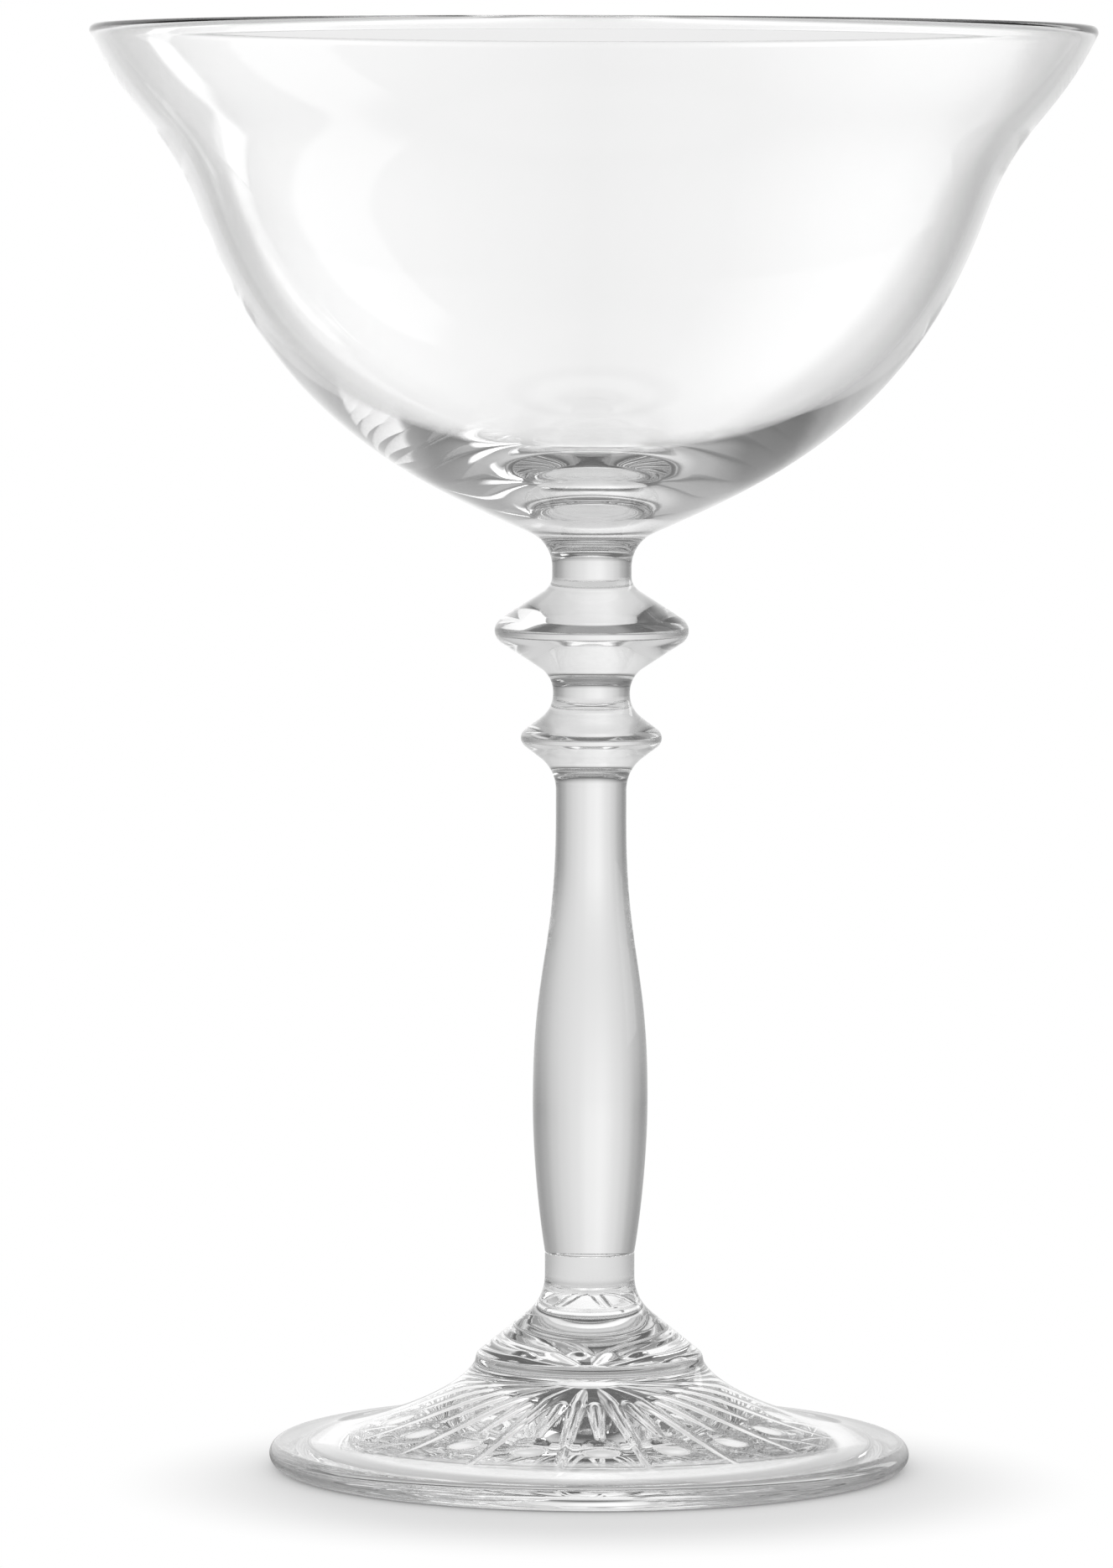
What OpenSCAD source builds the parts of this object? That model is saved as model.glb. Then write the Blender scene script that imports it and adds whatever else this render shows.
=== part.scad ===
// Coupe glass with a knopped baluster stem and a rayed foot, in millimetres.
// Three pieces of clear glass, fused while hot: the bowl on the stem, and the stem on the foot.
// The table is at z = 0 and the axis of the glass is the z axis.

/* [Bowl] */
// Height of the bowl piece, from its joint with the stem to the rim
bowl_height = 59; // [50:1:70]
// Radius over the rim
rim_radius = 56; // [52:0.5:60]
// Thickness of the rounded lip
lip_thickness = 1.5; // [1.2:0.1:2]
// Slope of the wall just under the lip, from the horizontal
lip_slope = 64; // [58:1:70]
// Outer radius where the bowl turns out into its flare
waist_radius = 43.65; // [40:0.05:46]
// Height of that place above the joint
waist_height = 38; // [33:0.5:42]
// Slope of the wall at that place, from the horizontal
waist_slope = 70; // [64:1:76]
// Slope of the bowl's underside where it leaves the neck
base_slope = 23.5; // [18:0.5:30]
// Thickness of the wall above the base
wall_thickness = 1.4; // [1:0.1:1.8]
// Height of the floor inside, above the joint
floor_height = 7.2; // [6:0.1:9]
// Radius of the dished floor inside
floor_radius = 12; // [9:0.5:15]
// Slope of the floor inside at that radius, from the horizontal
floor_slope = 19; // [14:1:24]

/* [Neck] */
// Radius of the stem at its narrowest place under the bowl
neck_radius = 4.44; // [3.8:0.02:5.2]
// Radius of the fillet that runs from the neck into the bowl
neck_fillet = 4.1; // [3:0.1:5]
// Height of the fused joint above the narrowest place of the neck
joint_rise = 1.2; // [0.6:0.1:1.8]

/* [Stem] */
// Length of the stem piece, from its joint with the foot to its joint with the bowl
stem_length = 78.1; // [70:0.1:95]
// Radius over the upper knop
upper_knop_radius = 10.86; // [9.5:0.02:12]
// Depth of the upper knop's edge below the joint with the bowl
upper_knop_depth = 8.35; // [8:0.05:9]
// Rounding of the upper knop's edge
upper_knop_round = 1.64; // [1.2:0.02:2]
// Slope of the upper knop's two faces, from the horizontal
upper_knop_slope = 33; // [30:1:35]
// Rounding between the upper knop and the neck above it
upper_fillet = 2.4; // [1.6:0.1:3]
// Radius of the stem between the two knops
waistlet_radius = 4.3; // [3.8:0.02:5]
// Rounding at both ends of the stretch between the knops
waistlet_fillet = 3.2; // [2:0.1:3.4]
// Radius over the lower knop
lower_knop_radius = 7.88; // [7:0.02:9]
// Depth of the lower knop's edge below the joint with the bowl
lower_knop_depth = 20.35; // [20:0.05:22]
// Rounding of the lower knop's edge
lower_knop_round = 1.22; // [0.9:0.02:1.5]
// Slope of the lower knop's two faces, from the horizontal
lower_knop_slope = 37; // [33:1:40]
// Radius of the shaft at its narrowest place, under the lower knop
shaft_radius = 3.95; // [3.4:0.05:4.6]
// Rounding between the lower knop and the shaft
shaft_fillet = 4.4; // [3:0.1:5]
// Depth below the joint with the bowl where the shaft starts to swell
shaft_start_depth = 29.2; // [28.5:0.1:31]
// Radius of the shaft at its fullest place
swell_radius = 6.45; // [5.4:0.05:7.5]
// Height of that place above the joint with the foot
swell_height = 17.1; // [12:0.1:22]
// Slope of the shaft's side where it meets the foot, from the vertical
ankle_lean = 9.5; // [4:0.5:14]

/* [Foot] */
// Height of the foot piece, from the table to its joint with the stem
foot_height = 24; // [23.6:0.1:27]
// Radius over the foot
foot_radius = 35.9; // [33:0.1:40]
// Thickness of the foot's rounded edge
edge_thickness = 2.7; // [2.2:0.1:3.4]
// Radius of the joint between the stem and the foot
ankle_radius = 5.02; // [4.4:0.02:5.6]
// Rounding from the foot's neck into the cone of its collar
ankle_fillet = 9.3; // [6:0.1:9.4]
// Radius where the collar's cone turns down
collar_radius = 12.65; // [11.8:0.05:13]
// Height of that place above the table
collar_height = 12.55; // [12.1:0.05:13.1]
// Slope of the collar's cone, from the horizontal
collar_slope = 39.2; // [37:0.2:41]
// Rounding of the collar's upper edge
collar_round = 0.8; // [0.4:0.1:1.1]
// How far the collar's side reaches down
collar_side = 1; // [0.6:0.1:1.4]
// Slope of the collar's side, from the horizontal
collar_side_slope = 78; // [72:1:84]
// Slope of the foot's top where it leaves the collar, from the horizontal
spread_slope = 62; // [54:1:68]

/* [Foot underside] */
// Width of the flat ring that the glass stands on
ring_width = 2.9; // [2:0.1:4]
// Height of the small step inside that ring
ring_step = 0.35; // [0.2:0.05:0.6]
// Height of the hollow underside near the axis
hollow_height = 6.3; // [4.5:0.1:7.6]
// Radius of the plain middle of the underside
hub_radius = 2.6; // [2.2:0.1:2.8]
// Number of long rays, with as many short ones between them
ray_count = 16; // [8:1:16]
// Turn of the first long ray from the right-hand side
ray_turn = 15; // [0:0.1:22.5]
// Width of a ray at its fullest place
ray_width = 1.7; // [1.3:0.1:1.7]
// Depth of a ray at its fullest place
ray_depth = 0.6; // [0.3:0.05:0.6]
// Radius at which the long rays start
long_ray_start = 2.9; // [2.9:0.1:4]
// Radius at which the long rays are fullest
long_ray_full = 8; // [7:0.1:10]
// Radius at which the long rays end
long_ray_end = 26.2; // [22:0.1:28]
// Radius at which the short rays start
short_ray_start = 7.4; // [7.2:0.1:8]
// Radius at which the short rays are fullest
short_ray_full = 8.8; // [8.6:0.1:11]
// Radius at which the short rays end
short_ray_end = 19.2; // [16:0.1:20]
// Width of the round dimple at the end of each short ray
dimple_width = 4.4; // [3:0.1:5]
// Depth of that dimple
dimple_depth = 0.35; // [0.2:0.05:0.5]
// Distance from the end of a short ray to the middle of its dimple
dimple_step = 0.8; // [0.4:0.1:1.2]

/* [Hidden] */
$fn = 96;
glass_tint = [0.86, 0.92, 0.93, 0.45];

// How hard each curve is pulled along its two end slopes, as shares of its chord
base_pull_share = 0.31;
waist_pull_share = 0.46;
inner_waist_pull_share = 0.475;
flare_pull_share = 0.47;
lip_pull_share = 0.45;
shaft_pull_share = 0.48;
swell_pull_share = 0.3;
spread_pull_share = 0.22;
floor_pull_share = 0.335;
// The most of a side that a rounded corner may use up
corner_share = 0.49;
// How far a ray's cutter runs past the ray's two ends, as a share of the ray
ray_run_share = 0.08;

// Steps along a long curve, a rounded corner and the lip
curve_steps = 22;
corner_steps = 7;
lip_steps = 10;
floor_steps = 6;

// Heights above the table
bowl_joint_z = foot_height + stem_length;
neck_z = bowl_joint_z - joint_rise;
upper_knop_z = bowl_joint_z - upper_knop_depth;
lower_knop_z = bowl_joint_z - lower_knop_depth;
shaft_start_z = bowl_joint_z - shaft_start_depth;
swell_z = foot_height + swell_height;
waist_z = bowl_joint_z + waist_height;
rim_z = bowl_joint_z + bowl_height;

// The fused joint under the bowl, on the neck's fillet
joint_turn = asin(joint_rise / neck_fillet);
bowl_joint_radius = neck_radius + neck_fillet * (1 - cos(joint_turn));

// The lip and the edge of the foot, as the middles of their roundings
lip_round = lip_thickness / 2;
lip_lean = 90 - lip_slope;
lip_middle = [rim_radius - lip_round, rim_z - lip_round];
edge_round = edge_thickness / 2;
edge_middle = [foot_radius - edge_round, edge_round];

// The hollow underside, a shallow cone inside the ring
ring_radius = edge_middle[0] - ring_width;
hollow_radius = ring_radius - ring_step;
hollow_lean = atan((hollow_height - ring_step) / (hollow_radius - hub_radius));
function hollow_z(r) = hollow_height - (r - hub_radius) * tan(hollow_lean);
// Radius of a round cutter that leaves a groove or a dimple of this width and depth
function cutter_radius(width, depth) = (width * width / 4 + depth * depth) / (2 * depth);

// The point at a distance from p, along an angle
function from_point(p, angle, distance) = p + distance * [cos(angle), sin(angle)];

// Points along an arc
function arc(middle, r, angle_0, angle_1, steps) =
    [for (i = [0 : steps]) from_point(middle, angle_0 + (angle_1 - angle_0) * i / steps, r)];

// Points along a smooth curve that leaves p0 along one angle and reaches p3 along another,
// pulled by two shares of the straight line between them
function curve(p0, angle_0, share_0, p3, angle_3, share_3, steps) =
    let (chord = norm(p3 - p0))
    let (p1 = from_point(p0, angle_0, share_0 * chord))
    let (p2 = from_point(p3, angle_3, -share_3 * chord))
    [for (i = [0 : steps]) let (t = i / steps, s = 1 - t)
        s * s * s * p0 + 3 * s * s * t * p1 + 3 * s * t * t * p2 + t * t * t * p3];

// The left-hand side of the way from a to b
function side_of(a, b) = [a[1] - b[1], b[0] - a[0]] / norm(b - a);

// Points beside a run of points, at a distance that goes evenly from first to last
function beside(points, first, last) =
    let (n = len(points) - 1)
    [for (i = [0 : n]) points[i] + (first + (last - first) * i / n)
        * side_of(points[max(0, i - 1)], points[min(n, i + 1)])];

function backwards(points) = [for (i = [len(points) - 1 : -1 : 0]) points[i]];

// An outline with its corners rounded, where each entry is [radius from the axis, height, rounding]
function rounded(path) =
    let (n = len(path) - 1)
    [for (i = [0 : n]) each (i == 0 || i == n || path[i][2] == 0)
        ? [[path[i][0], path[i][1]]]
        : rounded_corner(flat(path[i - 1]), flat(path[i]), flat(path[i + 1]), path[i][2])];

function flat(p) = [p[0], p[1]];

function rounded_corner(before, corner, after, rounding) =
    let (back = (before - corner) / norm(before - corner))
    let (ahead = (after - corner) / norm(after - corner))
    let (half = acos(back * ahead) / 2)
    let (room = corner_share * min(norm(before - corner), norm(after - corner)))
    let (reach = min(rounding / tan(half), room))
    let (r = reach * tan(half))
    let (middle = corner + (back + ahead) / norm(back + ahead) * r / sin(half))
    let (p0 = corner + back * reach - middle)
    let (p1 = corner + ahead * reach - middle)
    let (angle_0 = atan2(p0[1], p0[0]))
    let (turn = atan2(p0[0] * p1[1] - p0[1] * p1[0], p0 * p1))
    arc(middle, r, angle_0, angle_0 + turn, corner_steps);

// Where a knop's two faces would meet if its edge weren't rounded
function knop_tip(r, rounding, slope) = r + rounding * (1 / sin(slope) - 1);

// Height of a face that falls from a point at a slope, at radius r
function face_z(r, point, slope) = point[1] + (point[0] - r) * tan(slope);

// Outer side of the bowl, from the joint up to the lip
neck_arc = arc([neck_radius + neck_fillet, neck_z], neck_fillet, 180 - joint_turn, 90 + base_slope, corner_steps);
base_point = neck_arc[corner_steps];
waist_point = [waist_radius, waist_z];
lip_point = from_point(lip_middle, -lip_lean, lip_round);
cup_curve = curve(base_point, base_slope, base_pull_share,
    waist_point, waist_slope, waist_pull_share, curve_steps);
flare_curve = curve(waist_point, waist_slope, flare_pull_share,
    lip_point, lip_slope, lip_pull_share, curve_steps);

// Inner side of the bowl, from the dished floor up to the lip
floor_point = [0, bowl_joint_z + floor_height];
floor_edge = floor_point + floor_radius * [1, tan(floor_slope / 2)];
waist_inside = from_point(waist_point, waist_slope + 90, wall_thickness);
floor_curve = curve(floor_point, 0, floor_pull_share, floor_edge, floor_slope, floor_pull_share, floor_steps);
cup_inside = curve(floor_edge, floor_slope, base_pull_share,
    waist_inside, waist_slope, inner_waist_pull_share, curve_steps);
flare_inside = beside(flare_curve, wall_thickness, lip_thickness);

module bowl() {
    color(glass_tint)
    rotate_extrude()
        polygon(concat(
            [[0, bowl_joint_z]],
            neck_arc,
            [for (i = [1 : curve_steps]) cup_curve[i]],
            [for (i = [1 : curve_steps - 1]) flare_curve[i]],
            arc(lip_middle, lip_round, -lip_lean, 180 - lip_lean, lip_steps),
            [for (i = [curve_steps - 1 : -1 : 1]) flare_inside[i]],
            backwards(cup_inside),
            [for (i = [floor_steps - 1 : -1 : 0]) floor_curve[i]]));
}

// The two knops' tips and the corners between the knops and the plain stretches
upper_tip = [knop_tip(upper_knop_radius, upper_knop_round, upper_knop_slope), upper_knop_z];
lower_tip = [knop_tip(lower_knop_radius, lower_knop_round, lower_knop_slope), lower_knop_z];
knops_path = [
    [neck_radius, neck_z, 0],
    [neck_radius, face_z(neck_radius, upper_tip, upper_knop_slope), upper_fillet],
    [upper_tip[0], upper_tip[1], upper_knop_round],
    [waistlet_radius, face_z(waistlet_radius, upper_tip, -upper_knop_slope), waistlet_fillet],
    [waistlet_radius, face_z(waistlet_radius, lower_tip, lower_knop_slope), waistlet_fillet],
    [lower_tip[0], lower_tip[1], lower_knop_round],
    [shaft_radius, face_z(shaft_radius, lower_tip, -lower_knop_slope), shaft_fillet],
    [shaft_radius, shaft_start_z, 0]];

// The shaft, from under the lower knop to the joint with the foot
swell_point = [swell_radius, swell_z];
shaft_curve = curve([shaft_radius, shaft_start_z], -90, shaft_pull_share,
    swell_point, -90, shaft_pull_share, curve_steps);
ankle_curve = curve(swell_point, -90, swell_pull_share,
    [ankle_radius, foot_height], -90 - ankle_lean, swell_pull_share, curve_steps);

module stem() {
    color(glass_tint)
    rotate_extrude()
        polygon(concat(
            [[0, foot_height], [0, bowl_joint_z]],
            arc([neck_radius + neck_fillet, neck_z], neck_fillet, 180 - joint_turn, 180, corner_steps),
            [for (p = rounded(knops_path)) if (p != flat(knops_path[0])) p],
            [for (i = [1 : curve_steps]) shaft_curve[i]],
            [for (i = [1 : curve_steps]) ankle_curve[i]]));
}

// The collar, from the joint with the stem down to the crease where the foot spreads
collar_point = [collar_radius, collar_height];
crease_point = from_point(collar_point, -collar_side_slope, collar_side);
collar_path = [
    [ankle_radius, foot_height, 0],
    [ankle_radius, face_z(ankle_radius, collar_point, collar_slope), ankle_fillet],
    [collar_point[0], collar_point[1], collar_round],
    [crease_point[0], crease_point[1], 0]];
spread_curve = curve(crease_point, -spread_slope, spread_pull_share,
    from_point(edge_middle, 90, edge_round), 0, spread_pull_share, curve_steps);

module foot_blank() {
    rotate_extrude()
        polygon(concat(
            [[0, foot_height]],
            rounded(collar_path),
            [for (i = [1 : curve_steps]) spread_curve[i]],
            arc(edge_middle, edge_round, 90, -90, lip_steps),
            [[ring_radius, 0],
             [hollow_radius, ring_step],
             [hub_radius, hollow_height],
             [0, hollow_height]]));
}

// A round groove on the hollow underside that widens to its fullest place and runs out at its end
module ray(start, full, end) {
    cutter = cutter_radius(ray_width, ray_depth);
    tip = cutter - ray_depth * (1 + ray_run_share);
    rise = (full - start) / cos(hollow_lean) * (1 + ray_run_share);
    run = (end - full) / cos(hollow_lean) * (1 + ray_run_share);
    translate([full, 0, hollow_z(full)])
    rotate([0, 90 + hollow_lean, 0])
    translate([cutter - ray_depth, 0, 0]) {
        translate([0, 0, -rise])
            cylinder(h = rise, r1 = tip, r2 = cutter);
        cylinder(h = run, r1 = cutter, r2 = tip);
    }
}

// A shallow round dimple at the end of a short ray
module dimple(reach) {
    cutter = cutter_radius(dimple_width, dimple_depth);
    translate([reach, 0, hollow_z(reach) - cutter + dimple_depth])
        sphere(r = cutter);
}

module foot() {
    color(glass_tint)
    difference() {
        foot_blank();
        for (i = [0 : ray_count - 1]) {
            rotate(ray_turn + i * 360 / ray_count)
                ray(long_ray_start, long_ray_full, long_ray_end);
            rotate(ray_turn + (i + 0.5) * 360 / ray_count) {
                ray(short_ray_start, short_ray_full, short_ray_end);
                dimple(short_ray_end + dimple_step);
            }
        }
    }
}

bowl();
stem();
foot();
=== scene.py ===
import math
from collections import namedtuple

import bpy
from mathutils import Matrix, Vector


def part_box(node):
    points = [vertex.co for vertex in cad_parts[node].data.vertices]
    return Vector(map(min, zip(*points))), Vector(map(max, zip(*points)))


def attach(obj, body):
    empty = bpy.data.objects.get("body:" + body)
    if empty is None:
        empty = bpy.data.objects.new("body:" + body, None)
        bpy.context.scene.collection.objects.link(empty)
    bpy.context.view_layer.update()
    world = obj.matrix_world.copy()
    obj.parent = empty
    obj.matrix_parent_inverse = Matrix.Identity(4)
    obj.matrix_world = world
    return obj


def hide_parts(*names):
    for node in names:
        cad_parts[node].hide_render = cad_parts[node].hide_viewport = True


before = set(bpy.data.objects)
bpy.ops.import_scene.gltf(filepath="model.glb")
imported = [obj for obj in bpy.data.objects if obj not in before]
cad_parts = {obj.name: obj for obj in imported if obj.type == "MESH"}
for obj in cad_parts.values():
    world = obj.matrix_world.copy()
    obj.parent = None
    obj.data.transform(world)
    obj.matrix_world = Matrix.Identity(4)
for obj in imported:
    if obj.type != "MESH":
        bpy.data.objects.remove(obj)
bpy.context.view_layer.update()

# A coupe glass of three pieces that are fused while hot: a blown bowl, a pressed stem and a pressed foot.
# Lengths are in metres, the table is at z = 0 and the axis of the glass is the z axis.
# Each piece is an outline drawn in the plane y = 0, as (distance from the axis, height), and spun
# about the axis.

mm = 0.001
deg = math.pi / 180
full_turn = 2 * math.pi
quarter_turn = math.pi / 2
degrees_round = 360

# A stretch of an outline: its ends, the two pulls that bend it between them, and its steps
Stretch = namedtuple("Stretch", "start start_pull end_pull end steps")

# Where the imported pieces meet, and how wide they are
_, bowl_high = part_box("bowl")
_, stem_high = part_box("stem")
_, foot_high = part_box("foot")
foot_joint = foot_high.z
bowl_joint = stem_high.z
rim_height = bowl_high.z
rim_radius = bowl_high.x
foot_radius = foot_high.x
upper_knop_radius = stem_high.x

# Bowl, with heights above its joint with the stem
lip_thickness = 1.5 * mm
lip_slope = 64 * deg
inner_lip_slope = 65 * deg
waist_radius = 43.65 * mm
waist_height = 38 * mm
waist_slope = 70 * deg
base_slope = 23.5 * deg
wall_thickness = 1.4 * mm
floor_height = 7.2 * mm
floor_radius = 12 * mm
floor_slope = 19 * deg

# Neck, shared by the bowl and the stem
neck_radius = 4.44 * mm
neck_fillet = 4.1 * mm
joint_rise = 1.2 * mm

# Stem, with depths below its joint with the bowl
upper_knop_depth = 8.35 * mm
upper_knop_round = 1.64 * mm
upper_knop_slope = 33 * deg
upper_fillet = 2.4 * mm
waistlet_radius = 4.3 * mm
waistlet_fillet = 3.2 * mm
lower_knop_radius = 7.88 * mm
lower_knop_depth = 20.35 * mm
lower_knop_round = 1.22 * mm
lower_knop_slope = 37 * deg
shaft_radius = 3.95 * mm
shaft_fillet = 4.4 * mm
shaft_start_depth = 29.2 * mm
swell_radius = 6.45 * mm
# The swell's height above the joint with the foot, and the shaft's lean there
swell_height = 17.1 * mm
ankle_lean = 9.5 * deg

# Foot, with heights above the table
edge_thickness = 2.7 * mm
ankle_radius = 5.02 * mm
ankle_fillet = 9.3 * mm
collar_radius = 12.65 * mm
collar_height = 12.55 * mm
collar_slope = 39.2 * deg
collar_round = 0.8 * mm
collar_side = 1 * mm
collar_side_slope = 78 * deg
spread_slope = 62 * deg
seam_round = 0.08 * mm

# Underside of the foot
ring_width = 2.9 * mm
ring_step = 0.35 * mm
hollow_height = 6.3 * mm
hub_radius = 2.6 * mm
ray_count = 16
ray_turn = 15 * deg
ray_width = 1.7 * mm
ray_depth = 0.6 * mm
long_ray_start = 2.9 * mm
long_ray_full = 8 * mm
long_ray_end = 26.2 * mm
short_ray_start = 7.4 * mm
short_ray_full = 8.8 * mm
short_ray_end = 19.2 * mm
dimple_width = 4.4 * mm
dimple_depth = 0.35 * mm
dimple_step = 0.8 * mm
# How soft a groove's shoulders are: its reach over its half width, and how its sides round off
shoulder_share = 1.02
shoulder_power = 1.1

# How hard each curve is pulled along its two end slopes, as shares of its chord
base_pull_share = 0.31
waist_pull_share = 0.46
inner_waist_pull_share = 0.475
flare_pull_share = 0.47
lip_pull_share = 0.45
inner_flare_pull_share = 0.46
inner_lip_pull_share = 0.46
shaft_pull_share = 0.48
swell_pull_share = 0.3
spread_pull_share = 0.22
floor_pull_share = 0.335
# The same for a round stretch, as a share of its radius, before the tangent of a quarter of its turn
round_pull_share = 4 / 3
# The most of a side that a rounded corner may use up
corner_share = 0.49

# Steps of the outlines
joint_steps = 3
seam_steps = 2
bowl_neck_steps = 12
base_steps = 48
flare_steps = 40
lip_steps = 8
floor_steps = 16
stem_neck_steps = 6
knop_side_steps = 5
knop_round_steps = 14
shaft_steps = 36
swell_steps = 24
collar_side_steps = 4
collar_round_steps = 12
spread_steps = 30
edge_steps = 10
ring_steps = 3
hollow_steps = 60
hub_steps = 4

# Steps about the axis
bowl_turns = 256
stem_turns = 192
foot_turns = 576
merge_distance = 0.002 * mm
smooth_angle = 35 * deg
# How upright the normal of a level face is, at the least
level_normal = 0.99

# Glass
glass_index = 1.5
shadow_tint = 0.963
# Painted edge shade: how glass darkens from where it faces the eye, at 0, to its edge, at 1
edge_blend = 0.5
bowl_painted_shade_stops = [(0, 1), (0.5, 0.97), (0.65, 0.93), (0.8, 0.76), (1, 0.62)]
upright_painted_shade_stops = [(0, 1), (0.1, 0.94), (0.2, 0.86), (0.3, 0.76), (0.5, 0.52), (0.8, 0.3), (1, 0.25)]
# How far a surface leans, as the height of its normal, before it no longer counts as upright, where the
# painted edge shade starts to fade out
upright_lean = 0.12
stem_lean = 0.4
foot_lean = 0.85
# Waves that blowing leaves, and ripples that a chilled skin leaves: how many to a metre, how much
# closer they lie along each axis, and their depth
wave_scale = 45
wave_stretch = (1, 1, 0.6)
wave_depth = 0.03 * mm
ripple_scale = 60
stem_ripple_stretch = (1, 1, 9)
foot_ripple_stretch = (1, 1, 20)
stem_ripple_depth = 0.006 * mm
foot_ripple_depth = 0.01 * mm
relief_detail = 1
# The uneven finish: its pattern, the height of the pattern where it starts, and the most roughness
blown_finish_scale = 180
blown_finish_stretch = (1, 1, 1)
pressed_finish_scale = 240
pressed_finish_stretch = (1, 1, 3)
finish_detail = 3
dull_start = 0.5
most_roughness = 0.012

# Floor, with the patch of it that shows the shadow
floor_size = 8.0
floor_drop = 0.02 * mm
floor_white = 0.93
patch_place = Vector((1 * mm, -13.5 * mm, 0))
patch_inner = 30 * mm
patch_outer = 56 * mm
# Where the floor turns from its own grey near the foot into the room's, as glass sees it
sweep_near = 100 * mm
sweep_far = 500 * mm
# The open floor past the foot, for rays that no glass has mirrored
bare_near = 60 * mm
bare_far = 120 * mm
bare_floor = 0.76
# How bright the floor is round the axis, as glass sees it, over a reach from the axis: a painted pool
# of light where the glass gathers light under itself, and a painted shadow ring round the foot's edge
floor_reach = 80 * mm
painted_floor_light_stops = [
    (0, 0.65), (0.12, 0.8), (0.2, 1.1), (0.3, 1.1), (0.36, 0.62), (0.41, 0.3), (0.46, 0.34), (0.55, 0.7),
    (0.7, 0.63), (1, 0.65)]

# Where straight ahead lies on a ramp that runs once round the room
straight_ahead = 0.5
# Brightness round the room at angles to the right of straight ahead, in degrees.
# What solid glass sees through itself: white behind it from each side, and greyer at the flanks
solid_stops = [
    (-180, 0.95), (-158, 0.66), (-143, 0.92), (-127, 0.92), (-112, 0.62), (-90, 0.9), (-72, 0.6),
    (-55, 0.48), (-40, 0.56), (-28, 0.72), (-20, 0.8), (-7, 0.92), (0, 0.88), (10, 0.78), (20, 0.72),
    (28, 0.66), (40, 0.54), (55, 0.5), (72, 0.6), (90, 0.9), (112, 0.62), (127, 0.92), (143, 0.92),
    (158, 0.66), (180, 0.95)]
# What the thin bowl sees through itself: white, with a slight grey to either side of each view
thin_stops = [
    (-180, 1.08), (-160, 0.8), (-135, 1.05), (-110, 0.8), (-90, 1.08), (-70, 0.8), (-45, 1), (-28, 0.66),
    (-14, 0.85), (-9.6, 1.05), (-7, 1.2), (-5, 1.22), (-3.5, 1.13), (-2.2, 1.06), (-1, 1), (0, 0.96),
    (1, 0.99), (2.2, 1.06), (3.2, 1.17), (5.4, 1.3), (7.5, 1.08), (11, 0.9), (18, 0.66), (30, 0.62),
    (45, 1), (70, 0.8), (90, 1.08), (110, 0.8), (135, 1.05), (160, 0.8), (180, 1.08)]
# What glass mirrors: the backdrop ahead, greys behind the camera and darker gaps between
mirror_stops = [
    (-180, 0.5), (-140, 0.6), (-110, 0.5), (-90, 0.3), (-75, 0.12), (-55, 0.18), (-40, 0.5), (-28, 0.78),
    (-20, 0.9), (-7, 1.1), (0, 1.04), (10, 0.88), (20, 0.77), (28, 0.66), (40, 0.4), (55, 0.25),
    (66, 0.4), (105, 0.5), (140, 0.6), (180, 0.5)]
# A ray that has passed more faces than this has gone through both walls of the bowl
both_walls = 3.5

# Edges in the room are heights that a ray of length 1 climbs.
# The backdrop ends below the ceiling, which is darker, with a lighter middle straight overhead
backdrop_top = 0.14
ceiling_start = 0.6
ceiling = 0.12
zenith_start = 0.88
zenith_full = 0.96
zenith = 0.32
# The softbox at the right, where it stands and where it fades out at the top
softbox_stops = [(-180, 0), (64, 0), (68, 1), (96, 1), (100, 0), (180, 0)]
softbox_top = 0.8
softbox_end = 0.88
softbox_white = 1.15
# The narrow window between the backdrop and the softbox, with its sill and its top
window_stops = [(-180, 0), (33, 0), (35, 1), (43, 1), (45, 0), (180, 0)]
window_low = 0.05
window_sill = 0.1
window_top = 0.5
window_end = 0.55
window_white = 2
# What the room gives to surfaces that aren't glass
room_light = 0.6

# Lamps that light the floor and throw the shadow on it: name, place, the point that each faces,
# width, height and brightness
lamps = [
    ("overhead_softbox", (0.12, 0.35, 0.95), (0, 0, 0.05), 0.5, 0.4, 4),
    ("left_softbox", (-0.75, -0.35, 0.35), (0, 0, 0.1), 0.16, 0.6, 5),
    ("right_softbox", (0.8, -0.2, 0.3), (0, 0, 0.1), 0.1, 0.5, 3)]

# The photograph's camera
camera_distance = 950 * mm
camera_height = 143 * mm
camera_pitch = 4.0 * deg
camera_yaw = 0.245 * deg
camera_roll = 0.165 * deg
camera_lens = 195.6

# Bounces that let light run round inside the solid glass and out again
most_bounces = 144
most_mirrorings = 96
most_passes = 48
most_clear_faces = 32


def deselect():
    """Leave edit mode and drop the selection, which operators would act on."""
    if bpy.context.object and bpy.context.object.mode != "OBJECT":
        bpy.ops.object.mode_set(mode="OBJECT")
    bpy.ops.object.select_all(action="DESELECT")


def along(point, angle, distance):
    """The point at a distance from another, along an angle from the outward direction."""
    return point + distance * Vector((math.cos(angle), math.sin(angle)))


def beside(point, angle, distance):
    """The point on the left-hand side of a line that runs along an angle."""
    return along(point, angle + quarter_turn, distance)


def straight(start, end, steps):
    """A straight stretch."""
    third = (end - start) / 3
    return Stretch(start, start + third, end - third, end, steps)


def swept(start, start_angle, start_share, end, end_angle, end_share, steps):
    """A smooth stretch that leaves and reaches its ends along two angles."""
    chord = (end - start).length
    start_pull = along(start, start_angle, start_share * chord)
    end_pull = along(end, end_angle, -end_share * chord)
    return Stretch(start, start_pull, end_pull, end, steps)


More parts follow.
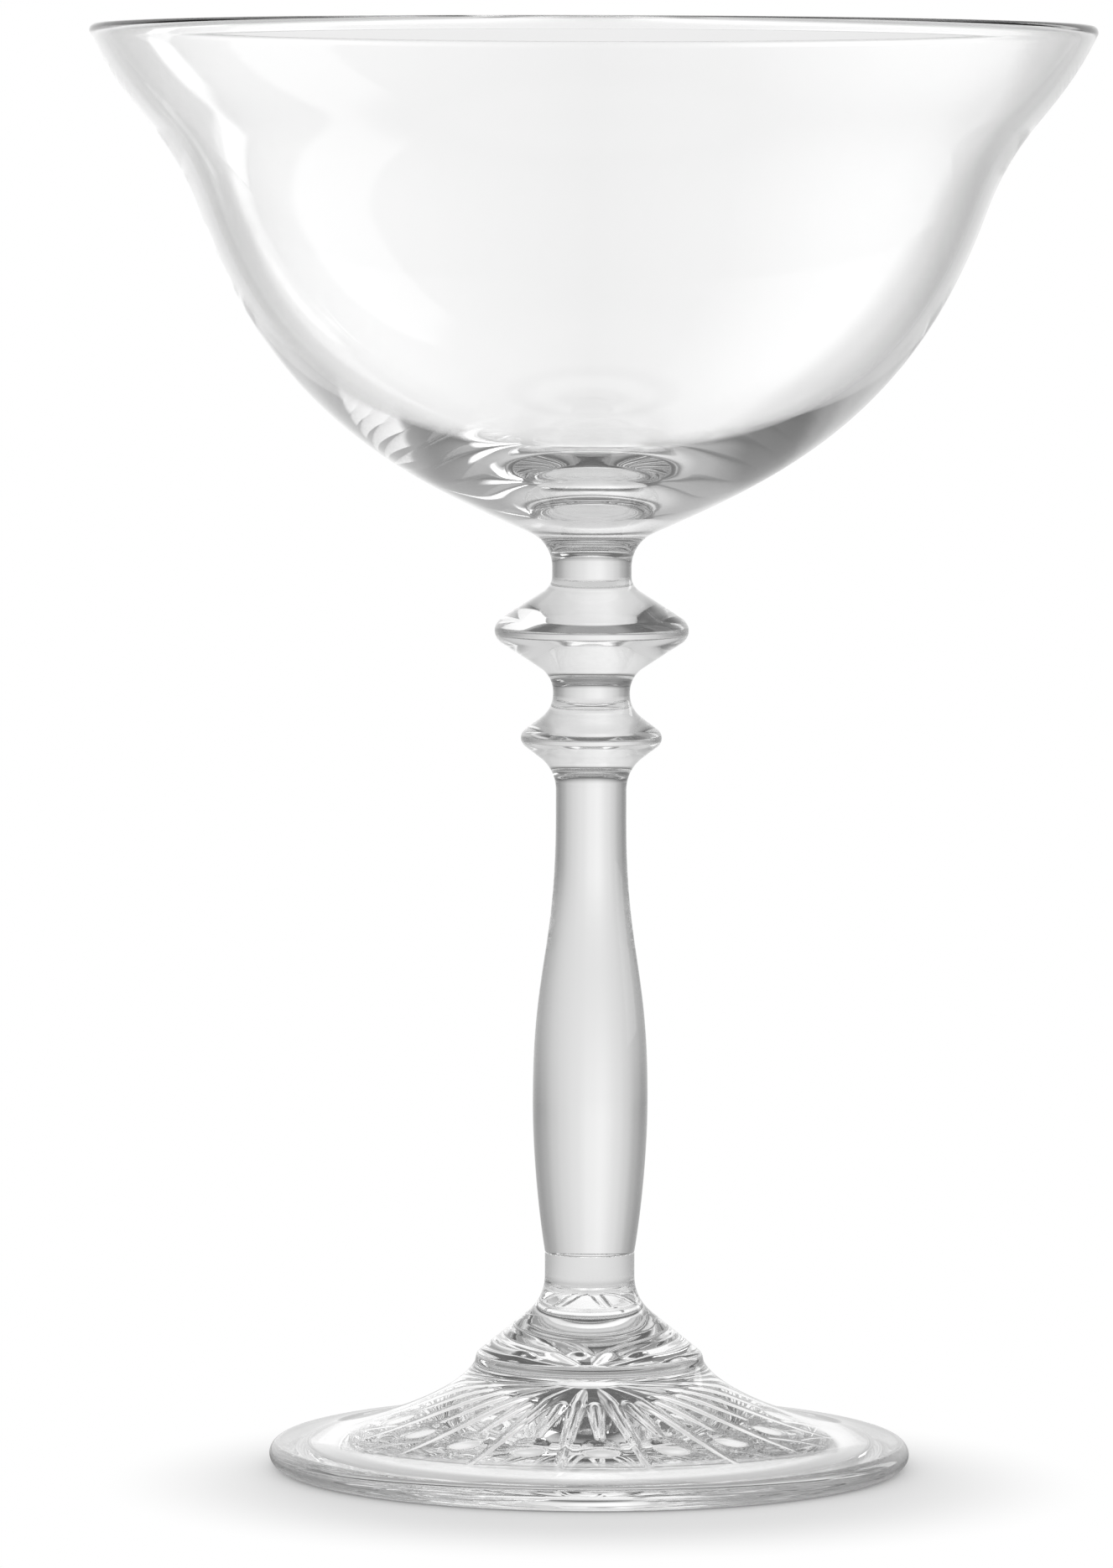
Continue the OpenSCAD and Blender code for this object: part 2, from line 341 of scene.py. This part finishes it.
def bent(middle, radius, start_angle, end_angle, steps):
    """A round stretch of under half a turn."""
    reach = radius * round_pull_share * math.tan((end_angle - start_angle) / 4)
    start = along(middle, start_angle, radius)
    end = along(middle, end_angle, radius)
    start_pull = beside(start, start_angle, reach)
    end_pull = beside(end, end_angle, -reach)
    return Stretch(start, start_pull, end_pull, end, steps)


def nose(middle, radius, start_angle, end_angle, steps):
    """A round stretch of about half a turn, in two halves."""
    half = (start_angle + end_angle) / 2
    return [
        bent(middle, radius, start_angle, half, steps),
        bent(middle, radius, half, end_angle, steps)]


def rounded(path, straight_steps, round_steps):
    """Stretches through corners, each given as its distance from the axis, its height and its rounding."""
    points = [Vector((out, height)) for out, height, _ in path]
    roundings = [rounding for _, _, rounding in path]
    sections = []
    last = points[0]
    for before, corner, after, rounding in zip(points, points[1:], points[2:], roundings[1:]):
        back = (before - corner).normalized()
        ahead = (after - corner).normalized()
        half = back.angle(ahead) / 2
        room = corner_share * min((before - corner).length, (after - corner).length)
        reach = min(rounding / math.tan(half), room)
        pull = reach * math.tan(half) * round_pull_share * math.tan((quarter_turn - half) / 2)
        start = corner + back * reach
        end = corner + ahead * reach
        sections.append(straight(last, start, straight_steps))
        sections.append(Stretch(start, start - back * pull, end - ahead * pull, end, round_steps))
        last = end
    sections.append(straight(last, points[-1], straight_steps))
    return sections


def in_plane(point):
    """A point of an outline as a place in the plane y = 0."""
    return point.x, 0, point.y


def drawn(name, sections):
    """The outline as a mesh of edges in the plane y = 0, drawn as one Bezier stretch for each section."""
    deselect()
    bpy.ops.curve.primitive_bezier_curve_add(location=(0, 0, 0))
    bpy.ops.object.mode_set(mode="EDIT")
    for _ in sections[1:]:
        bpy.ops.curve.primitive_bezier_curve_add(location=(0, 0, 0))
    bpy.ops.object.mode_set(mode="OBJECT")
    curve = bpy.context.object
    for spline, stretch in zip(curve.data.splines, sections):
        first, last = spline.bezier_points
        for point in (first, last):
            point.handle_left_type = point.handle_right_type = "FREE"
        first.co = first.handle_left = in_plane(stretch.start)
        first.handle_right = in_plane(stretch.start_pull)
        last.handle_left = in_plane(stretch.end_pull)
        last.co = last.handle_right = in_plane(stretch.end)
        spline.resolution_u = stretch.steps
    bpy.ops.object.convert(target="MESH")
    piece = bpy.context.object
    piece.name = piece.data.name = name
    return piece


def spun(piece, turns):
    """Spin an outline about the axis of the glass, and close its seam and its poles."""
    bpy.ops.object.mode_set(mode="EDIT")
    bpy.ops.mesh.select_all(action="SELECT")
    bpy.ops.mesh.remove_doubles(threshold=merge_distance)
    bpy.ops.mesh.spin(steps=turns, angle=full_turn, center=(0, 0, 0), axis=(0, 0, 1))
    bpy.ops.mesh.select_all(action="SELECT")
    bpy.ops.mesh.remove_doubles(threshold=merge_distance)
    bpy.ops.mesh.normals_make_consistent(inside=False)
    bpy.ops.object.mode_set(mode="OBJECT")
    return piece


def finished(piece, node, glass, joints):
    """Shade a piece, give it its glass, and clear glass on the faces that are fused to its neighbours."""
    bpy.ops.object.shade_smooth_by_angle(angle=smooth_angle)
    piece.data.materials.append(glass)
    piece.data.materials.append(fused_glass)
    for face in piece.data.polygons:
        level = abs(face.normal.z) > level_normal
        at_joint = any(abs(face.center.z - z) < merge_distance for z in joints)
        face.material_index = int(level and at_joint)
    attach(piece, "root")
    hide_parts(node)


def neck_arc(end_angle, steps):
    """A stretch of the fillet that the bowl and the stem share, from their joint to an angle."""
    middle = Vector((neck_radius + neck_fillet, bowl_joint - joint_rise))
    joint_turn = math.asin(joint_rise / neck_fillet)
    return bent(middle, neck_fillet, math.pi - joint_turn, end_angle, steps)


def make_bowl():
    """The blown bowl, from its fused joint over the outside and the lip to the floor inside."""
    neck = neck_arc(quarter_turn + base_slope, bowl_neck_steps)
    waist = Vector((waist_radius, bowl_joint + waist_height))
    lip_round = lip_thickness / 2
    lip_middle = Vector((rim_radius - lip_round, rim_height - lip_round))
    lip_angle = lip_slope - quarter_turn
    lip = nose(lip_middle, lip_round, lip_angle, lip_angle + math.pi, lip_steps)
    waist_inside = beside(waist, waist_slope, wall_thickness)
    floor = Vector((0, bowl_joint + floor_height))
    floor_edge = floor + floor_radius * Vector((1, math.tan(floor_slope / 2)))
    outline = [
        straight(Vector((0, bowl_joint)), neck.start, joint_steps),
        neck,
        swept(neck.end, base_slope, base_pull_share, waist, waist_slope, waist_pull_share, base_steps),
        swept(waist, waist_slope, flare_pull_share, lip[0].start, lip_slope, lip_pull_share, flare_steps),
        *lip,
        swept(lip[-1].end, inner_lip_slope + math.pi, inner_lip_pull_share,
              waist_inside, waist_slope + math.pi, inner_flare_pull_share, flare_steps),
        swept(waist_inside, waist_slope + math.pi, inner_waist_pull_share,
              floor_edge, floor_slope + math.pi, base_pull_share, base_steps),
        swept(floor_edge, floor_slope + math.pi, floor_pull_share,
              floor, math.pi, floor_pull_share, floor_steps)]
    bowl = spun(drawn("blown_bowl", outline), bowl_turns)
    finished(bowl, "bowl", blown_glass(), [bowl_joint])


def knop_tip(radius, rounding, slope, depth):
    """Where a knop's two faces would meet if its edge weren't rounded."""
    return Vector((radius + rounding * (1 / math.sin(slope) - 1), bowl_joint - depth))


def face_height(radius, point, slope):
    """Height at a radius of a face that passes a point and falls outwards at a slope."""
    return point.y + (point.x - radius) * math.tan(slope)


def make_stem():
    """The pressed stem, from the bowl down over two knops and the swelling shaft to the foot."""
    neck = neck_arc(math.pi, stem_neck_steps)
    upper = knop_tip(upper_knop_radius, upper_knop_round, upper_knop_slope, upper_knop_depth)
    lower = knop_tip(lower_knop_radius, lower_knop_round, lower_knop_slope, lower_knop_depth)
    shaft_start = Vector((shaft_radius, bowl_joint - shaft_start_depth))
    swell = Vector((swell_radius, foot_joint + swell_height))
    ankle = Vector((ankle_radius, foot_joint + seam_round))
    seam = Vector((ankle_radius - seam_round, foot_joint))
    down = -quarter_turn
    knops = rounded([
        (neck_radius, bowl_joint - joint_rise, 0),
        (neck_radius, face_height(neck_radius, upper, upper_knop_slope), upper_fillet),
        (upper.x, upper.y, upper_knop_round),
        (waistlet_radius, face_height(waistlet_radius, upper, -upper_knop_slope), waistlet_fillet),
        (waistlet_radius, face_height(waistlet_radius, lower, lower_knop_slope), waistlet_fillet),
        (lower.x, lower.y, lower_knop_round),
        (shaft_radius, face_height(shaft_radius, lower, -lower_knop_slope), shaft_fillet),
        (shaft_start.x, shaft_start.y, 0)], knop_side_steps, knop_round_steps)
    outline = [
        straight(Vector((0, bowl_joint)), neck.start, joint_steps),
        neck,
        *knops,
        swept(shaft_start, down, shaft_pull_share, swell, down, shaft_pull_share, shaft_steps),
        swept(swell, down, swell_pull_share, ankle, down - ankle_lean, swell_pull_share, swell_steps),
        straight(ankle, seam, seam_steps),
        straight(seam, Vector((0, foot_joint)), joint_steps)]
    stem = spun(drawn("pressed_stem", outline), stem_turns)
    glass = pressed_glass("stem_glass", stem_lean, stem_ripple_stretch, stem_ripple_depth)
    finished(stem, "stem", glass, [bowl_joint, foot_joint])


def hollow_at(radius):
    """Height of the plain hollow underside."""
    hollow_radius = foot_radius - edge_thickness / 2 - ring_width - ring_step
    fall = (hollow_height - ring_step) / (hollow_radius - hub_radius)
    return hollow_height - max(0, radius - hub_radius) * fall


def groove(away, half_width, depth):
    """Depth of a pressed groove with soft shoulders, at a distance from its middle."""
    reach = min(1, away / (half_width * shoulder_share)) if half_width > 0 else 1
    return depth * (1 - reach ** 2) ** shoulder_power


def ray_at(radius, angle, start, full, end):
    """Depth of a ray that widens to its fullest place and runs out at its end."""
    out = radius * math.cos(angle)
    share = (out - start) / (full - start) if out < full else (end - out) / (end - full)
    share = max(0, share)
    return groove(abs(radius * math.sin(angle)), ray_width / 2 * math.sqrt(share), ray_depth * share)


def pressed_at(radius, angle):
    """Depth of the rays and dimples pressed into the underside."""
    pitch = full_turn / ray_count
    long_angle = (angle - ray_turn + pitch / 2) % pitch - pitch / 2
    short_angle = (angle - ray_turn) % pitch - pitch / 2
    past_ray = radius * math.cos(short_angle) - short_ray_end - dimple_step
    from_dimple = Vector((past_ray, radius * math.sin(short_angle))).length
    return max(
        ray_at(radius, long_angle, long_ray_start, long_ray_full, long_ray_end),
        ray_at(radius, short_angle, short_ray_start, short_ray_full, short_ray_end),
        groove(from_dimple, dimple_width / 2, dimple_depth))


def make_foot():
    """The pressed foot, from the stem down over the collar and the edge to the rayed hollow underneath."""
    collar = Vector((collar_radius, collar_height))
    crease = along(collar, -collar_side_slope, collar_side)
    edge_round = edge_thickness / 2
    edge_middle = Vector((foot_radius - edge_round, edge_round))
    edge = nose(edge_middle, edge_round, quarter_turn, -quarter_turn, edge_steps)
    ring_radius = edge_middle.x - ring_width
    hollow_radius = ring_radius - ring_step
    seam = Vector((ankle_radius - seam_round, foot_joint))
    ankle = Vector((ankle_radius, foot_joint - seam_round))
    collars = rounded([
        (ankle.x, ankle.y, 0),
        (ankle_radius, face_height(ankle_radius, collar, collar_slope), ankle_fillet),
        (collar.x, collar.y, collar_round),
        (crease.x, crease.y, 0)], collar_side_steps, collar_round_steps)
    ring_edge = Vector((ring_radius, 0))
    hollow_edge = Vector((hollow_radius, ring_step))
    hub_edge = Vector((hub_radius, hollow_height))
    outline = [
        straight(Vector((0, foot_joint)), seam, joint_steps),
        straight(seam, ankle, seam_steps),
        *collars,
        swept(crease, -spread_slope, spread_pull_share, edge[0].start, 0, spread_pull_share, spread_steps),
        *edge,
        straight(edge[-1].end, ring_edge, ring_steps),
        straight(ring_edge, hollow_edge, ring_steps),
        straight(hollow_edge, hub_edge, hollow_steps),
        straight(hub_edge, Vector((0, hollow_height)), hub_steps)]
    foot = spun(drawn("pressed_foot", outline), foot_turns)
    for vertex in foot.data.vertices:
        radius = math.hypot(vertex.co.x, vertex.co.y)
        inside_ring = radius < hollow_radius - merge_distance
        if inside_ring and abs(vertex.co.z - hollow_at(radius)) < merge_distance:
            vertex.co.z += pressed_at(radius, math.atan2(vertex.co.y, vertex.co.x))
    glass = pressed_glass("foot_glass", foot_lean, foot_ripple_stretch, foot_ripple_depth)
    finished(foot, "foot", glass, [foot_joint])


def grey(brightness):
    """A grey as a colour."""
    return brightness, brightness, brightness, 1


def fed(links, socket, value):
    """Give a socket a number, or the output of another node."""
    if isinstance(value, (int, float)):
        socket.default_value = value
    else:
        links.new(value, socket)


def math_node(nodes, links, operation, *values):
    """A sum, product or other operation on sockets and numbers."""
    node = nodes.new("ShaderNodeMath")
    node.operation = operation
    for socket, value in zip(node.inputs, values):
        fed(links, socket, value)
    return node.outputs[0]


def faded(nodes, links, value, low, high):
    """0 below a low value, 1 above a high one, and smooth between them."""
    node = nodes.new("ShaderNodeMapRange")
    node.interpolation_type = "SMOOTHSTEP"
    node.inputs["From Min"].default_value = low
    node.inputs["From Max"].default_value = high
    links.new(value, node.inputs["Value"])
    return node.outputs[0]


def mixed(nodes, links, share, first, second):
    """A grey between two, by a share."""
    node = nodes.new("ShaderNodeMix")
    share_socket, _, first_socket, second_socket = node.inputs[:4]
    fed(links, share_socket, share)
    fed(links, first_socket, first)
    fed(links, second_socket, second)
    return node.outputs[0]


def ramp(nodes, links, value, stops, between):
    """A grey from stops along a scale from 0 to 1, with a kind of step between them."""
    node = nodes.new("ShaderNodeValToRGB")
    node.color_ramp.interpolation = between
    elements = node.color_ramp.elements
    while len(elements) > 1:
        elements.remove(elements[-1])
    for index, (place, brightness) in enumerate(stops):
        element = elements[0] if index == 0 else elements.new(place)
        element.position = place
        element.color = grey(brightness)
    links.new(value, node.inputs[0])
    return node.outputs[0]


def parts_of(nodes, links, vector):
    """The X, Y and Z of a place or a direction."""
    split = nodes.new("ShaderNodeSeparateXYZ")
    links.new(vector, split.inputs[0])
    return split.outputs


def new_material(name):
    """An empty node material and its nodes, links and output."""
    material = bpy.data.materials.new(name)
    material.use_nodes = True
    nodes, links = material.node_tree.nodes, material.node_tree.links
    nodes.clear()
    return material, nodes, links, nodes.new("ShaderNodeOutputMaterial")


def clear_joint():
    """Glass that is fused to its neighbour, which light passes as if no face were there."""
    material, nodes, links, output = new_material("fused_joint")
    links.new(nodes.new("ShaderNodeBsdfTransparent").outputs[0], output.inputs["Surface"])
    return material


def painted_edge_shade(nodes, links, painted_shade_stops):
    """Painted shade: a grey that darkens from where a surface faces the eye to its edge."""
    facing = nodes.new("ShaderNodeLayerWeight")
    facing.inputs["Blend"].default_value = edge_blend
    return ramp(nodes, links, facing.outputs["Facing"], painted_shade_stops, "LINEAR")


def upright_painted_edge_shade(nodes, links, painted_shade_stops, lean_end):
    """The same painted edge shade, on the upright sides alone, so that sloping faces stay clear."""
    normal = parts_of(nodes, links, nodes.new("ShaderNodeNewGeometry").outputs["Normal"])
    lean = math_node(nodes, links, "ABSOLUTE", normal["Z"])
    leaning = faded(nodes, links, lean, upright_lean, lean_end)
    return mixed(nodes, links, leaning, painted_edge_shade(nodes, links, painted_shade_stops), 1)


def glass_shader(nodes, links, output, painted_shade_colour):
    """Clear soda-lime glass, coloured by a painted edge shade, that throws a pale shadow."""
    glass = nodes.new("ShaderNodeBsdfPrincipled")
    # The painted edge shade darkens the glass's colour
    links.new(painted_shade_colour, glass.inputs["Base Color"])
    glass.inputs["Transmission Weight"].default_value = 1
    glass.inputs["IOR"].default_value = glass_index
    clear = nodes.new("ShaderNodeBsdfTransparent")
    clear.inputs["Color"].default_value = grey(shadow_tint)
    mix = nodes.new("ShaderNodeMixShader")
    links.new(nodes.new("ShaderNodeLightPath").outputs["Is Shadow Ray"], mix.inputs[0])
    links.new(glass.outputs[0], mix.inputs[1])
    links.new(clear.outputs[0], mix.inputs[2])
    links.new(mix.outputs[0], output.inputs["Surface"])
    return glass


def bumped(nodes, links, glass, height, depth):
    """Raise a glass surface by a pattern, over a real depth."""
    bump = nodes.new("ShaderNodeBump")
    bump.inputs["Distance"].default_value = depth
    links.new(height, bump.inputs["Height"])
    links.new(bump.outputs["Normal"], glass.inputs["Normal"])


def noise_on(nodes, links, scale, stretch, detail):
    """A soft pattern on the piece's own coordinates."""
    place = nodes.new("ShaderNodeTexCoord")
    mapping = nodes.new("ShaderNodeMapping")
    mapping.inputs["Scale"].default_value = stretch
    noise = nodes.new("ShaderNodeTexNoise")
    noise.inputs["Scale"].default_value = scale
    noise.inputs["Detail"].default_value = detail
    links.new(place.outputs["Object"], mapping.inputs["Vector"])
    links.new(mapping.outputs["Vector"], noise.inputs["Vector"])
    return noise.outputs["Fac"]


def dulled(nodes, links, glass, pattern):
    """A finish that is never quite even, as handled glass has."""
    share = faded(nodes, links, pattern, dull_start, 1)
    links.new(math_node(nodes, links, "MULTIPLY", share, most_roughness), glass.inputs["Roughness"])


def blown_glass():
    """Clear blown glass with the faint waves that blowing leaves."""
    material, nodes, links, output = new_material("bowl_glass")
    # The bowl's colour carries a painted edge shade
    glass = glass_shader(nodes, links, output, painted_edge_shade(nodes, links, bowl_painted_shade_stops))
    waves = noise_on(nodes, links, wave_scale, wave_stretch, relief_detail)
    bumped(nodes, links, glass, waves, wave_depth)
    dulled(nodes, links, glass,
           noise_on(nodes, links, blown_finish_scale, blown_finish_stretch, finish_detail))
    return material


def pressed_glass(name, lean_end, stretch, depth):
    """Clear pressed glass with the faint level ripples of a chilled skin."""
    material, nodes, links, output = new_material(name)
    # The pressed glass's colour carries a painted edge shade on its upright sides
    glass = glass_shader(nodes, links, output, upright_painted_edge_shade(nodes, links, upright_painted_shade_stops, lean_end))
    bumped(nodes, links, glass, noise_on(nodes, links, ripple_scale, stretch, relief_detail), depth)
    dulled(nodes, links, glass,
           noise_on(nodes, links, pressed_finish_scale, pressed_finish_stretch, finish_detail))
    return material


def round_the_room(nodes, links, place, stops):
    """The brightness round the room at a place or along a direction, from stops at angles to the right."""
    split = parts_of(nodes, links, place)
    turn = math_node(nodes, links, "ARCTAN2", split["X"], split["Y"])
    share = math_node(nodes, links, "MULTIPLY_ADD", turn, 1 / full_turn, straight_ahead)
    shares = [(angle / degrees_round + straight_ahead, brightness) for angle, brightness in stops]
    return ramp(nodes, links, share, shares, "EASE")


def through_thin_glass(nodes, links):
    """1 for rays that have passed both walls of the bowl, and 0 for those of the solid pieces."""
    path = nodes.new("ShaderNodeLightPath")
    return math_node(nodes, links, "GREATER_THAN", path.outputs["Transmission Depth"], both_walls)


def mirrored_rays(nodes, links):
    """1 for rays that glass has mirrored, outside or inside, and 0 for those that pass straight on."""
    path = nodes.new("ShaderNodeLightPath")
    return math_node(nodes, links, "MINIMUM", path.outputs["Glossy Depth"], 1)


def seen_in_glass(nodes, links):
    """1 for the rays of reflections and of what shows through glass."""
    path = nodes.new("ShaderNodeLightPath").outputs
    return math_node(nodes, links, "MAXIMUM", path["Is Glossy Ray"], path["Is Transmission Ray"])


def floor_glow(nodes, links, place, from_patch):
    """How bright glass sees the floor: a painted pool of light and a painted shadow ring near the foot, an
    even grey past it, and the room's far off.
    """
    from_axis = nodes.new("ShaderNodeVectorMath")
    from_axis.operation = "LENGTH"
    links.new(place, from_axis.inputs[0])
    reached = math_node(nodes, links, "DIVIDE", from_axis.outputs["Value"], floor_reach)
    # Painted pool of light under the foot and painted shadow ring round its edge
    painted_floor_light = ramp(nodes, links, reached, painted_floor_light_stops, "EASE")
    far = faded(nodes, links, from_patch, sweep_near, sweep_far)
    past_foot = faded(nodes, links, from_patch, bare_near, bare_far)
    open_floor = mixed(nodes, links, past_foot, painted_floor_light, bare_floor)
    solid = mixed(nodes, links, far, open_floor, round_the_room(nodes, links, place, solid_stops))
    thin = round_the_room(nodes, links, place, thin_stops)
    through = mixed(nodes, links, through_thin_glass(nodes, links), solid, thin)
    mirror = mixed(nodes, links, far, painted_floor_light, round_the_room(nodes, links, place, mirror_stops))
    return mixed(nodes, links, mirrored_rays(nodes, links), through, mirror)


def pale_paper():
    """Pale paper that shows the shadow near the glass and runs out into plain white."""
    material, nodes, links, output = new_material("pale_floor")
    paper = nodes.new("ShaderNodeBsdfDiffuse")
    paper.inputs["Color"].default_value = grey(floor_white)
    place = nodes.new("ShaderNodeTexCoord").outputs["Object"]
    is_camera = nodes.new("ShaderNodeLightPath").outputs["Is Camera Ray"]
    away = nodes.new("ShaderNodeVectorMath")
    away.operation = "DISTANCE"
    away.inputs[1].default_value = patch_place
    links.new(place, away.inputs[0])
    from_patch = away.outputs["Value"]
    white = nodes.new("ShaderNodeEmission")
    # What glass sees of the floor glows, with painted light and shadow near the foot
    glow = floor_glow(nodes, links, place, from_patch)
    links.new(mixed(nodes, links, is_camera, glow, 1), white.inputs["Strength"])
    patch = faded(nodes, links, from_patch, patch_inner, patch_outer)
    mix = nodes.new("ShaderNodeMixShader")
    links.new(mixed(nodes, links, is_camera, seen_in_glass(nodes, links), patch), mix.inputs[0])
    links.new(paper.outputs[0], mix.inputs[1])
    links.new(white.outputs[0], mix.inputs[2])
    links.new(mix.outputs[0], output.inputs["Surface"])
    return material


def make_floor():
    """The pale floor that the glass stands on."""
    deselect()
    bpy.ops.mesh.primitive_plane_add(size=floor_size, location=(0, 0, 0))
    floor = bpy.context.object
    floor.name = "pale_floor"
    for vertex in floor.data.vertices:
        vertex.co.z = -floor_drop
    floor.data.materials.append(pale_paper())


def make_lamp(name, place, target, width, height, brightness):
    """A softbox that faces a target, of a plain brightness."""
    deselect()
    bpy.ops.object.light_add(type="AREA", location=place)
    lamp = bpy.context.object
    lamp.name = name
    lamp.data.shape = "RECTANGLE"
    lamp.data.size = width
    lamp.data.size_y = height
    lamp.data.energy = brightness * math.pi * width * height
    lamp.rotation_euler = (Vector(target) - Vector(place)).to_track_quat("-Z", "Y").to_euler()
    lamp.visible_camera = lamp.visible_glossy = lamp.visible_transmission = False


def room_glow(nodes, links, direction):
    """How bright glass sees the room: the backdrop, the ceiling, the softbox and the window."""
    height = parts_of(nodes, links, direction)["Z"]
    is_thin = through_thin_glass(nodes, links)
    overhead = faded(nodes, links, height, backdrop_top, ceiling_start)
    solid = mixed(nodes, links, overhead, round_the_room(nodes, links, direction, solid_stops), ceiling)
    through = mixed(nodes, links, is_thin, solid, round_the_room(nodes, links, direction, thin_stops))
    above = mixed(nodes, links, faded(nodes, links, height, zenith_start, zenith_full), ceiling, zenith)
    mirror = mixed(nodes, links, overhead, round_the_room(nodes, links, direction, mirror_stops), above)
    in_softbox = math_node(nodes, links, "MULTIPLY", faded(nodes, links, height, softbox_end, softbox_top),
                           round_the_room(nodes, links, direction, softbox_stops))
    in_solid = math_node(nodes, links, "SUBTRACT", in_softbox, is_thin)
    in_window = math_node(nodes, links, "MULTIPLY", faded(nodes, links, height, window_low, window_sill),
                          faded(nodes, links, height, window_end, window_top))
    in_window = math_node(nodes, links, "MULTIPLY", in_window,
                          round_the_room(nodes, links, direction, window_stops))
    mirror = mixed(nodes, links, in_solid, mirror, softbox_white)
    mirror = mixed(nodes, links, in_window, mirror, window_white)
    return mixed(nodes, links, mirrored_rays(nodes, links), through, mirror)


def set_world():
    """White to the camera, a room to glass, and plain light to the floor."""
    world = bpy.data.worlds.new("studio")
    bpy.context.scene.world = world
    world.use_nodes = True
    nodes, links = world.node_tree.nodes, world.node_tree.links
    nodes.clear()
    output = nodes.new("ShaderNodeOutputWorld")
    direction = nodes.new("ShaderNodeTexCoord").outputs["Generated"]
    is_camera = nodes.new("ShaderNodeLightPath").outputs["Is Camera Ray"]
    is_seen = math_node(nodes, links, "MAXIMUM", is_camera, seen_in_glass(nodes, links))
    shown = mixed(nodes, links, is_camera, room_glow(nodes, links, direction), 1)
    background = nodes.new("ShaderNodeBackground")
    background.inputs["Color"].default_value = grey(1)
    links.new(mixed(nodes, links, is_seen, room_light, shown), background.inputs["Strength"])
    links.new(background.outputs[0], output.inputs["Surface"])


def make_camera():
    """The photograph's camera, a little below the rim."""
    deselect()
    bpy.ops.object.camera_add(location=(0, -camera_distance, camera_height),
                              rotation=(quarter_turn - camera_pitch, -camera_roll, camera_yaw))
    camera = bpy.context.object
    camera.name = "camera"
    camera.data.lens = camera_lens
    bpy.context.scene.camera = camera


def set_render():
    """Plain colours, and enough bounces for solid glass."""
    scene = bpy.context.scene
    scene.view_settings.view_transform = "Standard"
    cycles = scene.cycles
    cycles.max_bounces = most_bounces
    cycles.glossy_bounces = most_mirrorings
    cycles.transmission_bounces = most_passes
    cycles.transparent_max_bounces = most_clear_faces
    cycles.caustics_reflective = False
    cycles.caustics_refractive = False


fused_glass = clear_joint()
make_bowl()
make_stem()
make_foot()
make_floor()
for lamp in lamps:
    make_lamp(*lamp)
set_world()
make_camera()
set_render()
